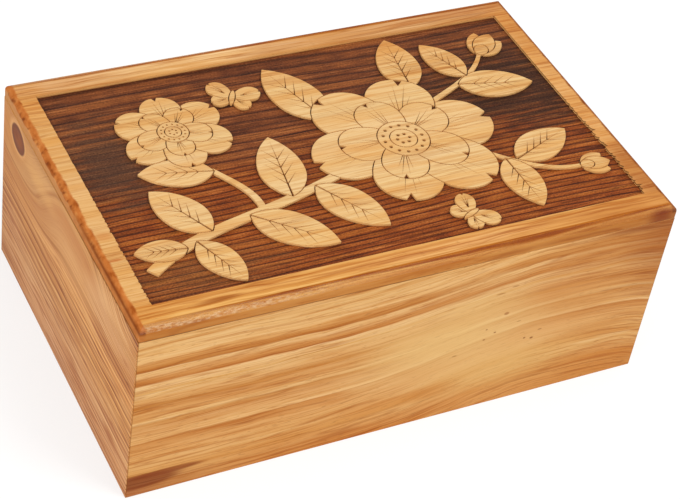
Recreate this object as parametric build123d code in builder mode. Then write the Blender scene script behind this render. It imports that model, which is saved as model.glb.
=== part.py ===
"""A rectangular pine cremation urn with a carved top.

Four mitred walls carry a top board that is glued on and rounded over. Its face is carved
back inside a plain border, so that a spray of flowers and leaves stands proud of the
ground. A base panel closes the ash chamber from below. It sits in a rebate round the foot
of the walls, and four countersunk wood screws hold it to blocks in the corners.

Millimetres. +X runs along the length and +Z is up. The origin is the centre of the foot.
"""

from build123d import *

import math
import os

# Outside of the urn
urn_length = 292.0
urn_width = 189.0
urn_height = 113.0

# Boards
wall_thickness = 12.0
top_thickness = 7.6
base_thickness = 6.0
edge_round = 3.4  # routed along the four top edges
corner_round = 0.8  # sanded at each mitred corner
arris = 0.35  # broken edge at the foot, and along the seam under the top board

# Base panel in its rebate
foot_width = 6.0  # what the rebate leaves of the walls for the urn to stand on
base_recess = 0.6  # the panel lies this far above the foot
base_clearance = 0.4  # all round the panel's edge

# Corner blocks
block_side = 18.0
block_height = 24.0
block_chamfer = 5.0

# Wood screws
screw_length = 19.0
screw_radius = 1.75
head_radius = 3.4
head_rim = 0.3
head_sink = 0.15  # the head lies this far inside the panel's face
thread_length = 12.0
thread_rings = 6
thread_depth = 0.5
root_share = 0.45  # of a ring's pitch, where its root lies below the crest
point_length = 3.0
driver_reach = 1.9  # each arm of the cross recess, from the axis
driver_slot = 0.9
driver_depth = 1.5
thread_fit = 0.05  # radial, in the pilot hole
shank_clearance = 0.3  # radial, in the panel
head_clearance = 0.15  # radial, in the countersink
pilot_spare = 2.0  # pilot hole beyond the point

# Carved field
border_ends = 11.8
border_sides = 14.5
carve_depth = 1.5
groove = 0.55  # carved round each shape that lies over another
midrib_cut = 1.1
vein_cut = 0.6

# The spray is laid out for a field of this size, and is scaled to the real one
drawn_length = 268.4
drawn_width = 160.0

# Boughs: the points of the curve, width at the root and width at the tip
boughs = [
    ([(-126, -60), (-92, -43), (-52, -33), (-10, -20), (34, -4)], 6.4, 4.2),
    ([(-58, -34), (-62, -14), (-74, 6), (-78, 28)], 3.6, 2.4),
    ([(34, -4), (64, 20), (88, 32), (108, 50)], 3.8, 2.2),
    ([(34, -4), (70, -26), (96, -46), (116, -50)], 3.4, 2.0),
]

# Leaves: base, heading in degrees, length and half width
leaves = [
    (-104, -49, 172, 26, 7.5),
    (-98, -46, 292, 34, 9.0),
    (-88, -41, 118, 40, 11.0),
    (-66, -36, 318, 46, 11.5),
    (-40, -29, 82, 46, 12.0),
    (-26, -25, 302, 44, 11.5),
    (-70, 0, 168, 38, 10.0),
    (2, 22, 108, 50, 13.0),
    (58, 34, 84, 42, 11.5),
    (84, 29, 348, 42, 11.0),
    (92, 35, 112, 34, 9.0),
    (84, -36, 22, 40, 10.5),
    (78, -34, 272, 38, 10.0),
]

# Blossoms: centre, size against the largest one, turn in degrees
blossoms = [
    (34, -4, 1.0, 0),
    (-78, 34, 0.58, 22),
]

# Buds: base, heading in degrees, length
buds = [
    (108, 50, 46, 21),
    (114, -50, 356, 17),
]

# Petals of the largest blossom: turn, length and half width
outer_petals = [
    (6, 53, 19.0),
    (67, 49, 18.5),
    (128, 51, 19.0),
    (187, 53, 18.5),
    (248, 48, 18.0),
    (307, 52, 19.5),
]
inner_petals = [
    (34, 34, 13.0),
    (104, 32, 12.5),
    (176, 35, 13.0),
    (246, 32, 12.0),
    (322, 34, 13.0),
]
eye_radius = 13.6
stamen_ring = 10.6
stamen_radius = 1.0
stamen_count = 14
centre_radius = 7.0
centre_dots = 6

# Moths: centre, heading in degrees, wing length
moths = [
    (-38, 52, 62, 16),
    (40, -67, 24, 15),
]

# Shares of a leaf's length
leaf_belly = 0.43
midrib_share = 0.93
vein_shares = [0.2, 0.34, 0.48, 0.62]
vein_angle = 38.0

# Shares of a petal's length, and the turn and length of each fine line
petal_belly = 0.64
notch_share = 0.1
lines_start = 0.3
petal_lines = [(-15, 0.46), (-6, 0.62), (6, 0.6), (15, 0.48)]

# Turn, share of the bud's length and slimness of each petal, and last the cup
bud_petals = [(-24, 0.92, 0.27), (24, 0.92, 0.27), (0, 1.0, 0.28), (0, 0.45, 0.4)]
bud_belly = 0.5

# Turn, share of the wing's length and slimness of each pair of wings, and the body
moth_wings = [(122, 0.72, 0.375), (58, 1.0, 0.34)]
moth_body_share = 0.36
moth_body_slimness = 0.24

# Worked out from the sizes above
seam_height = urn_height - top_thickness
rebate_height = base_recess + base_thickness
field_length = urn_length - 2 * border_ends
field_width = urn_width - 2 * border_sides
spray_scale = min(field_length / drawn_length, field_width / drawn_width)
rebate_length = urn_length - 2 * foot_width
rebate_width = urn_width - 2 * foot_width
block_x = urn_length / 2 - wall_thickness - block_side / 2
block_y = urn_width / 2 - wall_thickness - block_side / 2
head_height = base_recess + head_sink
pilot_radius = screw_radius + thread_fit
corners = {
    "front_left": (-1, -1),
    "front_right": (1, -1),
    "back_left": (-1, 1),
    "back_right": (1, 1),
}


def arc_run(run, rise, grown):
    """How far an arc reaches along the axis from its widest point, once grown outward."""
    radius = (run**2 + rise**2) / (2 * rise)
    return math.sqrt((radius + grown) ** 2 - (radius - rise) ** 2)


def blade(length, half_width, belly, grown=0.0):
    """A leaf or petal: its base at the origin, its tip on +X, widest at the belly."""
    widest = belly * length
    shoulder = (widest, half_width + grown)
    with BuildSketch() as shape:
        with BuildLine():
            TangentArc(shoulder, (widest - arc_run(widest, half_width, grown), 0), tangent=(-1, 0))
            TangentArc(shoulder, (widest + arc_run(length - widest, half_width, grown), 0), tangent=(1, 0))
            mirror(about=Plane.XZ)
        make_face()
    return shape.sketch


def disc(radius_x, radius_y):
    """A plain ellipse or circle."""
    with BuildSketch() as shape:
        Ellipse(radius_x, radius_y)
    return shape.sketch


def slit(length, width):
    """A tapering knife cut from the origin along +X."""
    with BuildSketch() as cut:
        Polygon((0, -width / 2), (length, 0), (0, width / 2), align=None)
    return cut.sketch


def leaf(length, half_width):
    """A leaf with its midrib and side veins cut in."""
    with BuildSketch() as shape:
        add(blade(length, half_width, leaf_belly))
        add(slit(midrib_share * length, midrib_cut), mode=Mode.SUBTRACT)
        for share in vein_shares:
            reach = half_width * math.sqrt(math.sin(math.pi * (share + vein_shares[0] / 2)))
            for side in (-1, 1):
                with Locations(Location((share * length, 0, 0), (0, 0, side * vein_angle))):
                    add(slit(reach, vein_cut), mode=Mode.SUBTRACT)
    return shape.sketch


def petal(length, half_width):
    """A petal with a notched tip and fine lines that fan out from its base."""
    notch = notch_share * length
    with BuildSketch() as shape:
        add(blade(length, half_width, petal_belly))
        with Locations((length - notch, 0)):
            Polygon((0, 0), (2 * notch, -notch), (2 * notch, notch), align=None, mode=Mode.SUBTRACT)
        for angle, share in petal_lines:
            with Locations(Location((lines_start * length, 0, 0), (0, 0, angle))):
                add(slit(share * length, vein_cut), mode=Mode.SUBTRACT)
    return shape.sketch


def blossom_eye(size):
    """A ring of stamens round a dotted centre."""
    with BuildSketch() as eye:
        Circle(size * eye_radius)
        with PolarLocations(size * stamen_ring, stamen_count):
            Circle(size * stamen_radius, mode=Mode.SUBTRACT)
        Circle(size * centre_radius + groove, mode=Mode.SUBTRACT)
        Circle(size * centre_radius)
        with PolarLocations(size * centre_radius / 2, centre_dots):
            Circle(size * stamen_radius, mode=Mode.SUBTRACT)
    return eye.sketch


def bough(points, root_width, tip_width):
    """A branch that tapers along a smooth curve through the points."""
    centre = Spline(*[(spray_scale * x, spray_scale * y) for x, y in points])
    last = len(points) - 1
    sides = {-1: [], 1: []}
    for step in range(last + 1):
        spot = centre.position_at(step / last)
        along = centre.tangent_at(step / last)
        half = (root_width + (tip_width - root_width) * step / last) / 2
        for side, edge in sides.items():
            edge.append(spot + Vector(-along.Y, along.X) * side * half)
    with BuildSketch() as shape:
        with BuildLine():
            Spline(*sides[-1])
            Line(sides[-1][-1], sides[1][-1])
            Spline(*sides[1])
            Line(sides[1][0], sides[-1][0])
        make_face()
    return shape.sketch


def placed(x, y, turn):
    """A place in the field, scaled with the spray."""
    return Location((spray_scale * x, spray_scale * y, 0), (0, 0, turn))


def leaf_layers(x, y, heading, length, half_width):
    """One leaf, and the groove round it."""
    long = spray_scale * length
    half = spray_scale * half_width
    yield leaf(long, half), blade(long, half, leaf_belly, groove), placed(x, y, heading)


def petal_layers(x, y, heading, length, half_width):
    """One petal, and the groove round it."""
    long = spray_scale * length
    half = spray_scale * half_width
    yield petal(long, half), blade(long, half, petal_belly, groove), placed(x, y, heading)


def blossom_layers(x, y, size, turn):
    """The petals of one blossom from the bottom up, then its eye."""
    for ring in (outer_petals, inner_petals):
        for angle, length, half_width in ring:
            yield from petal_layers(x, y, turn + angle, size * length, size * half_width)
    cleared = size * spray_scale * eye_radius + groove
    yield blossom_eye(size * spray_scale), disc(cleared, cleared), placed(x, y, turn)


def bud_layers(x, y, heading, length):
    """Two side petals of a closed bud, the front one, and the cup that holds them."""
    for turn, share, slimness in bud_petals:
        long = spray_scale * share * length
        half = slimness * long
        yield blade(long, half, bud_belly), blade(long, half, bud_belly, groove), placed(x, y, heading + turn)


def moth_layers(x, y, heading, wing):
    """Two wings a side, then the body."""
    for turn, share, slimness in moth_wings:
        long = share * wing
        yield from petal_layers(x, y, heading - turn, long, slimness * long)
        yield from petal_layers(x, y, heading + turn, long, slimness * long)
    long = spray_scale * moth_body_share * wing
    half = moth_body_slimness * long
    yield disc(long, half), disc(long + groove, half + groove), placed(x, y, heading)


def spray_layers():
    """Every shape of the spray, the groove round it and its place, from the bottom up."""
    for item in leaves:
        yield from leaf_layers(*item)
    for item in buds:
        yield from bud_layers(*item)
    for item in blossoms:
        yield from blossom_layers(*item)
    for item in moths:
        yield from moth_layers(*item)


def meet(one, other):
    """Whether the boxes round two flat shapes overlap."""
    a = one.bounding_box()
    b = other.bounding_box()
    return a.min.X < b.max.X and b.min.X < a.max.X and a.min.Y < b.max.Y and b.min.Y < a.max.Y


# Whatever lies below a shape stops short at the groove round it
visible = [bough(*item) for item in boughs]
for shape, clearing, place in spray_layers():
    above = clearing.located(place)
    visible = [below - above if meet(below, above) else below for below in visible]
    visible.append(shape.located(place))

# Top board: a pocket inside the border, and the spray left standing in it
with BuildPart() as top_board:
    with BuildSketch(Plane.XY.offset(seam_height)):
        Rectangle(urn_length, urn_width)
    extrude(amount=top_thickness)
    fillet(top_board.faces().sort_by(Axis.Z)[-1].edges(), edge_round)
    chamfer(top_board.faces().sort_by(Axis.Z)[0].edges(), arris)
    with BuildSketch():
        RectangleRounded(urn_length, urn_width, corner_round)
    extrude(amount=urn_height, mode=Mode.INTERSECT)
    with BuildSketch(Plane.XY.offset(urn_height)):
        Rectangle(field_length, field_width)
    extrude(amount=-carve_depth, mode=Mode.SUBTRACT)
    with BuildSketch(Plane.XY.offset(urn_height - carve_depth)):
        add(visible)
        Rectangle(field_length, field_width, mode=Mode.INTERSECT)
    extrude(amount=carve_depth, clean=False)
top_board.part.label = "top_board"


def mitred_wall(label, length, reach, turn):
    """A wall seen from above, its outer face at reach from the centre, turned about Z."""
    level = Plane.XY.rotated((0, 0, turn))
    half = length / 2
    with BuildPart() as wall:
        with BuildSketch(level):
            Polygon(
                (-half, -reach),
                (half, -reach),
                (half - wall_thickness, wall_thickness - reach),
                (wall_thickness - half, wall_thickness - reach),
                align=None,
            )
        extrude(amount=seam_height)
        outer_face = wall.faces().sort_by(Axis((0, 0, 0), level.y_dir))[0]
        chamfer(outer_face.edges().filter_by(Axis.Z, reverse=True), arris)
        with BuildSketch():
            RectangleRounded(urn_length, urn_width, corner_round)
        extrude(amount=seam_height, mode=Mode.INTERSECT)
        with BuildSketch():
            Rectangle(rebate_length, rebate_width)
        extrude(amount=rebate_height, mode=Mode.SUBTRACT)
    wall.part.label = label
    return wall.part


walls = [
    mitred_wall("front_wall", urn_length, urn_width / 2, 0),
    mitred_wall("right_wall", urn_width, urn_length / 2, 90),
    mitred_wall("back_wall", urn_length, urn_width / 2, 180),
    mitred_wall("left_wall", urn_width, urn_length / 2, 270),
]

# Base panel
with BuildPart() as base_panel:
    with BuildSketch(Plane.XY.offset(base_recess)):
        Rectangle(rebate_length - 2 * base_clearance, rebate_width - 2 * base_clearance)
    extrude(amount=base_thickness)
    chamfer(base_panel.faces().sort_by(Axis.Z)[0].edges(), arris)
    with Locations(Plane((0, 0, base_recess), z_dir=(0, 0, -1))):
        with GridLocations(2 * block_x, 2 * block_y, 2, 2):
            CounterSinkHole(
                radius=screw_radius + shank_clearance,
                counter_sink_radius=head_radius + head_rim + head_sink + head_clearance,
                depth=base_thickness,
                counter_sink_angle=90,
            )
base_panel.part.label = "base_panel"


def corner_block(label, side_x, side_y):
    """A glue block with a pilot hole, in the corner that the two signs name."""
    hole_depth = head_height + screw_length + pilot_spare - rebate_height
    with BuildPart() as block:
        with BuildSketch(Plane((side_x * block_x, side_y * block_y, rebate_height))) as plan:
            Rectangle(block_side, block_side)
            inner_corner = plan.vertices().sort_by(Axis((0, 0, 0), (side_x, side_y, 0)))[0]
            chamfer(inner_corner, block_chamfer)
        extrude(amount=block_height)
        with Locations(Plane((side_x * block_x, side_y * block_y, rebate_height), z_dir=(0, 0, -1))):
            Hole(radius=pilot_radius, depth=hole_depth)
    block.part.label = label
    return block.part


def base_screw(label, side_x, side_y):
    """A countersunk wood screw driven up through the panel, its thread drawn as rings."""
    place = (side_x * block_x, side_y * block_y, 0)
    root = screw_radius - thread_depth
    tip = head_height + screw_length
    thread_foot = tip - thread_length
    pitch = (thread_length - point_length) / thread_rings
    outline = [
        (0, head_height),
        (head_radius, head_height),
        (head_radius, head_height + head_rim),
        (screw_radius, head_height + head_rim + head_radius - screw_radius),
        (screw_radius, thread_foot),
    ]
    for ring in range(thread_rings):
        outline.append((root, thread_foot + (ring + root_share) * pitch))
        outline.append((screw_radius, thread_foot + (ring + 1) * pitch))
    outline.append((root, thread_foot + (thread_rings + root_share) * pitch))
    outline.append((0, tip))
    with BuildPart() as screw:
        with BuildSketch(Plane(place, x_dir=(1, 0, 0), z_dir=(0, -1, 0))):
            Polygon(*outline, align=None)
        revolve(axis=Axis(place, (0, 0, 1)))
        with BuildSketch(Plane((place[0], place[1], head_height))):
            Rectangle(2 * driver_reach, driver_slot)
            Rectangle(driver_slot, 2 * driver_reach)
        extrude(amount=driver_depth, taper=10, mode=Mode.SUBTRACT)
    screw.part.label = label
    return screw.part


pieces = [top_board.part, *walls, base_panel.part]
for corner, (side_x, side_y) in corners.items():
    pieces.append(corner_block("corner_block_" + corner, side_x, side_y))
    pieces.append(base_screw("base_screw_" + corner, side_x, side_y))

os.makedirs("parts", exist_ok=True)
for piece in pieces:
    export_step(piece, f"parts/{piece.label}.step")
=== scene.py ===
import bisect
import math

import bpy
from mathutils import Matrix, Vector, kdtree, noise
from mathutils.geometry import delaunay_2d_cdt


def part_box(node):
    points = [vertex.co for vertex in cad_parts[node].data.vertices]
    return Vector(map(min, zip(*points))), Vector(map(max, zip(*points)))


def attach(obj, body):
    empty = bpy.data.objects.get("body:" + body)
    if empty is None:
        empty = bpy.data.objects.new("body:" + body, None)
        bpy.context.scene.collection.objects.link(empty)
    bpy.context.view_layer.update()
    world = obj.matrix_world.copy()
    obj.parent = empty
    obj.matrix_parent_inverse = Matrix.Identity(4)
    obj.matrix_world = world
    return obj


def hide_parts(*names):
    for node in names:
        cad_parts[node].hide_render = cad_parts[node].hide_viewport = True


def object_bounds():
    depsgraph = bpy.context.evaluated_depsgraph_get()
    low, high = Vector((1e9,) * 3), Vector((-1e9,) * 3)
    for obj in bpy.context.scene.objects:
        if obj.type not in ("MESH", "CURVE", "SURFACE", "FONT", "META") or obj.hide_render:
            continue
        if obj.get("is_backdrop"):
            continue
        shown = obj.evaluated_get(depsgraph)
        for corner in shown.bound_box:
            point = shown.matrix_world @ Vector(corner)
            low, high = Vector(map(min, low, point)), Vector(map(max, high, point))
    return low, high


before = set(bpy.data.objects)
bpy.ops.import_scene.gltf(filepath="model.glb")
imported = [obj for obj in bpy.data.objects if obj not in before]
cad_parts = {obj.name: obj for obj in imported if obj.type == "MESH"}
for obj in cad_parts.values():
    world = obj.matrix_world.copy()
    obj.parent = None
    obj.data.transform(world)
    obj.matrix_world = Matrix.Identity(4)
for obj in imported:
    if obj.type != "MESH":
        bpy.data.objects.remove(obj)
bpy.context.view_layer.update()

# Walls
# Four flat-sawn pine boards, mitred at the corners and glued. They were wiped with a honey
# stain and sprayed with a satin varnish, and the inside was left bare.
wall_low, wall_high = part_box("front_wall")
wall_height = 1000 * wall_high.z
half_length = 1000 * wall_high.x
half_width = -1000 * wall_low.y


def linear(hex_colour):
    """An sRGB hex colour as linear red, green, blue and alpha."""
    values = [int(hex_colour[i : i + 2], 16) / 255 for i in (1, 3, 5)]
    return [v / 12.92 if v <= 0.04045 else ((v + 0.055) / 1.055) ** 2.4 for v in values] + [1.0]


def node(tree, kind, inputs=None, output=0, stops=None, points=None, per_mm=None, **settings):
    """Adds a node with its settings and links, and gives back one of its outputs.

    Sockets go by name or number: 0 to 4 of a MapRange are its value, the two limits it comes
    from and the two it goes to, and a Mix takes its share in 0 and its colours in 6 and 7.
    per_mm is how often a noise repeats in a millimetre in each direction.
    """
    made = tree.nodes.new("ShaderNode" + kind)
    inputs = dict(inputs or {})
    if kind == "Mix":
        made.data_type, output = "RGBA", 2
    if per_mm:
        inputs["Scale"] = 1.0
        inputs["Vector"] = node(tree, "VectorMath", {0: inputs["Vector"], 1: per_mm}, operation="MULTIPLY")
    for name, value in settings.items():
        setattr(made, name, value)
    for socket, value in inputs.items():
        if isinstance(value, bpy.types.NodeSocket):
            tree.links.new(value, made.inputs[socket])
        elif isinstance(value, str):
            made.inputs[socket].default_value = linear(value)
        else:
            made.inputs[socket].default_value = value
    if stops:
        ramp = made.color_ramp.elements
        for place, colour in stops[2:]:
            ramp.new(place)
        for element, (place, colour) in zip(ramp, sorted(stops)):
            element.position = place
            element.color = linear(colour)
    if points:
        curve = made.mapping.curves[0].points
        for place, value in points[2:]:
            curve.new(place, value)
        for point, (place, value) in zip(curve, sorted(points)):
            point.location = (place, value)
        made.mapping.update()
    return made.outputs[output]


def new_finish(name):
    """A new material, with its nodes and its shader."""
    material = bpy.data.materials.new(name)
    material.use_nodes = True
    return material, material.node_tree, material.node_tree.nodes["Principled BSDF"]


def in_millimetres(tree):
    """The place on the piece, in millimetres."""
    place = node(tree, "TexCoord", output="Object")
    return node(tree, "VectorMath", {0: place, "Scale": 1000.0}, operation="SCALE")


def faded(tree, share, *ranges, fade="LINEAR"):
    """Multiplies a share by ranges: a value, its two limits and, if not 0 and 1, the shares there."""
    for limits in ranges:
        part = node(tree, "MapRange", dict(enumerate(limits)), interpolation_type=fade)
        share = node(tree, "Math", {0: share, 1: part}, operation="MULTIPLY")
    return share


def from_middle(tree, place, middle_x, middle_y, reach_x, reach_y):
    """How far a place is from the middle of an oval, where 1 is on the oval."""
    offset = node(tree, "VectorMath", {0: place, 1: (middle_x, middle_y, 0.0)}, operation="SUBTRACT")
    offset = node(tree, "VectorMath", {0: offset, 1: (1 / reach_x, 1 / reach_y, 0.0)}, operation="MULTIPLY")
    return node(tree, "VectorMath", {0: offset}, output="Value", operation="LENGTH")


def pine_board(
    name, axes, profile, calm, fine, seed,
    rise=None, swirls=(), marks=(), inner_face=None, joints=None, shine=0.06,
):
    """Stained pine: growth bands from a list of heights and colours, bent by the tree's sweep.

    Latewood takes less stain and ends each band with a crisp darker line, the fibres show as
    fine streaks, and resin canals are short brown dashes. Satin varnish lies over it all.
    The axes run along the grain, across the bands and into the wood. All sizes are millimetres.

    A mark is an oval (its middle, then its reach along and across the grain), the share of it
    that fades, a colour and a strength. Calm is such an oval and the share of lines that stay
    in it. Fine gives the spacing of the fine lines, where along the grain they go from their
    least strength to the most, and the strength of the figure and of the fibres. An inner face
    is its place and which way is outward. Joints are how far out the mitres are, and where the
    seam at the top is clean and where it is dusty.
    """
    material, tree, shader = new_finish(name)
    split = node(tree, "SeparateXYZ", {0: in_millimetres(tree)}).node.outputs
    run, height, depth = (split[axis] for axis in axes)
    flat_place = node(tree, "CombineXYZ", {0: run, 1: height, 2: seed})

    # Near the knot or the crown of a sweep the wood is calm, with few lines and streaks
    *calm_oval, least_lively = calm
    calm_distance = from_middle(tree, flat_place, *calm_oval)
    lively = node(tree, "MapRange", {0: calm_distance, 1: 0.35, 2: 1.1, 3: least_lively},
                  interpolation_type="SMOOTHSTEP")

    # The growth rings wander a little, and follow the sweep and the knots
    wander = node(tree, "TexNoise", {"Vector": flat_place}, per_mm=(0.011, 0.035, 1.0))
    wander = node(tree, "MapRange", {0: wander, 3: -2.6, 4: 2.6})
    ripple_place = node(tree, "CombineXYZ", {0: run, 1: height, 2: seed + 7.0})
    ripple = node(tree, "TexNoise", {"Vector": ripple_place, "Detail": 1.0}, per_mm=(0.05, 0.22, 1.0))
    ripple = faded(tree, lively, (ripple, 0.0, 1.0, -0.75, 0.75))
    ring = node(tree, "Math", {0: height, 1: wander}, operation="ADD")
    ring = node(tree, "Math", {0: ring, 1: ripple}, operation="ADD")
    if rise:
        share_of_run = node(tree, "MapRange", {0: run, 1: -half_length, 2: half_length})
        lift = node(tree, "FloatCurve", {1: share_of_run}, points=rise["shape"])
        lift = faded(tree, lift, (height, 0.0, wall_height, rise["foot"], rise["top"]))
        ring = node(tree, "Math", {0: ring, 1: lift}, operation="SUBTRACT")
    for swirl in swirls:
        push = faded(tree, swirl["push"], (height, swirl["from"], swirl["full"]), fade="SMOOTHSTEP")
        sides = [(run, swirl["middle"] + side * swirl["reach"], swirl["middle"]) for side in (-1, 1)]
        push = faded(tree, push, *sides, fade="SMOOTHERSTEP")
        ring = node(tree, "Math", {0: ring, 1: push}, operation="ADD")
    lowest, highest = profile[0][0], profile[-1][0]
    level = node(tree, "MapRange", {0: ring, 1: lowest, 2: highest})
    bands = [((band - lowest) / (highest - lowest), stain) for band, stain in profile]
    colour = node(tree, "ValToRGB", {0: level}, stops=bands)

    # Marks in the wood: soft stain blotches, the heart of a knot, pin knots
    for *oval, softness, mark_colour, strength in marks:
        away = from_middle(tree, flat_place, *oval)
        inside = node(tree, "MapRange", {0: away, 1: 1.0, 2: 1.0 - softness, 4: strength},
                      interpolation_type="SMOOTHSTEP")
        colour = node(tree, "Mix", {0: inside, 6: colour, 7: mark_colour})

    # Thin dark lines that run together and apart, where a slow noise crosses its middle
    grain_place = node(tree, "CombineXYZ", {0: run, 1: depth, 2: ring})
    figure = node(tree, "TexNoise", {"Vector": grain_place, "Detail": 1.5}, per_mm=(0.009, 0.04, 0.24))
    figure = node(tree, "Math", {0: figure, 1: 0.5}, operation="SUBTRACT")
    figure = node(tree, "Math", {0: figure}, operation="ABSOLUTE")
    figure = faded(tree, lively, (figure, 0.034, 0.006, 0.0, fine["figure"]))

    # Fine growth lines between the broad bands, in patches
    phase = node(tree, "Math", {0: ring, 1: fine["spacing"]}, operation="DIVIDE")
    phase = node(tree, "Math", {0: phase}, operation="FRACT")
    line = node(tree, "ValToRGB", {0: phase}, stops=[
        (0.0, "#FFFFFF"), (0.5, "#FBF3E4"), (0.84, "#A9733A"), (0.94, "#FFF2DC"), (1.0, "#FFFFFF"),
    ])
    patch = node(tree, "TexNoise", {"Vector": flat_place, "Detail": 1.0}, per_mm=(0.0253, 0.0805, 2.3))
    patch = node(tree, "MapRange", {0: patch, 1: 0.38, 2: 0.62, 3: 0.25})
    amount = node(tree, "Math", {0: patch, 1: lively}, operation="MULTIPLY")
    along_run = (run, fine["from"], fine["full"], fine["least"], fine["most"])
    amount = faded(tree, amount, along_run, fade="SMOOTHSTEP")

    # Fibre streaks 2 mm and 0.7 mm across, coarser than real fibres so that they show, and resin
    # canals as short dashes
    broad = node(tree, "TexNoise", {"Vector": grain_place, "Roughness": 0.6}, per_mm=(0.016, 0.2, 0.42))
    broad = node(tree, "ValToRGB", {0: broad},
                 stops=[(0.32, "#E2BE88"), (0.5, "#FFFCF2"), (0.68, "#FFFFFF")])
    broad_share = node(tree, "Math", {0: lively, 1: 0.65}, operation="MULTIPLY")
    fibre = node(tree, "TexNoise", {"Vector": grain_place, "Detail": 3.0, "Roughness": 0.6},
                 per_mm=(0.04, 0.6, 1.5))
    streak = node(tree, "ValToRGB", {0: fibre},
                  stops=[(0.3, "#D9B481"), (0.44, "#F7EBD7"), (0.58, "#FFFFFF")])
    fibre_share = node(tree, "MapRange", {0: lively, 3: 0.3, 4: fine["fibre"]})
    dash = node(tree, "TexNoise", {"Vector": grain_place, "Detail": 0.0}, per_mm=(0.24, 1.0, 1.9))
    dash = faded(tree, fibre_share, (dash, 0.72, 0.8, 0.0, 0.5))
    layers = [
        (figure, "#C08A4C", "MULTIPLY"),
        (amount, line, "MULTIPLY"),
        (broad_share, broad, "MULTIPLY"),
        (fibre_share, streak, "MULTIPLY"),
        (dash, "#9A5A24", "MIX"),
    ]

    # A little stain and dust gathers in the glued seam at the top and along the mitres. Where the
    # seam is clean, its lip is painted a muted tan: painted shade that tones down the light the arris
    # catches
    if joints:
        mitre, clean_to, dusty_from = joints
        from_centre = node(tree, "Math", {0: run}, operation="ABSOLUTE")
        mitre_line = node(tree, "MapRange", {0: from_centre, 1: mitre - 0.45, 2: mitre - 0.1, 4: 0.55})
        lip = node(tree, "MapRange", {0: height, 1: wall_height - 0.3, 2: wall_height - 0.1, 4: 0.7})
        dusty = node(tree, "MapRange", {0: run, 1: clean_to, 2: dusty_from})
        lip_painted_shade = node(tree, "Math", {0: lip, 1: dusty}, operation="SUBTRACT", use_clamp=True)
        dusty_lip = node(tree, "Math", {0: lip, 1: patch}, operation="MULTIPLY")
        dusty_lip = node(tree, "Math", {0: dusty_lip, 1: dusty}, operation="MULTIPLY")
        seam_line = node(tree, "Math", {0: mitre_line, 1: dusty_lip}, operation="MAXIMUM")
        layers += [(lip_painted_shade, "#C48E54", "MIX"), (seam_line, "#6E421F", "MIX")]

    # The inside is bare wood
    rough = node(tree, "MapRange", {0: fibre, 3: 0.34, 4: 0.46})
    if inner_face:
        bare_place, outward = inner_face
        bare_share, bare_rough = 0.75, 0.75
        bare = node(tree, "MapRange", {
            0: depth, 1: bare_place + 0.4 * outward, 2: bare_place + 0.1 * outward, 4: bare_share,
        })
        layers.append((bare, "#E2C495", "MIX"))
        rough = node(tree, "MapRange", {0: bare, 2: bare_share, 3: rough, 4: bare_rough})
    for share, tint, blend in layers:
        colour = node(tree, "Mix", {0: share, 6: colour, 7: tint}, blend_type=blend)
    bump = node(tree, "Bump", {"Strength": 0.35, "Distance": 0.00006, "Height": fibre}, output="Normal")
    for socket, value in (("Base Color", colour), ("Roughness", rough), ("Normal", bump)):
        tree.links.new(value, shader.inputs[socket])
    shader.inputs["Specular IOR Level"].default_value = shine
    return material


def dress(piece, material):
    """Gives a material to the CAD nodes whose names start with a piece's name."""
    for name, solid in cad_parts.items():
        if name.startswith(piece):
            solid.data.materials.clear()
            solid.data.materials.append(material)


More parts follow.
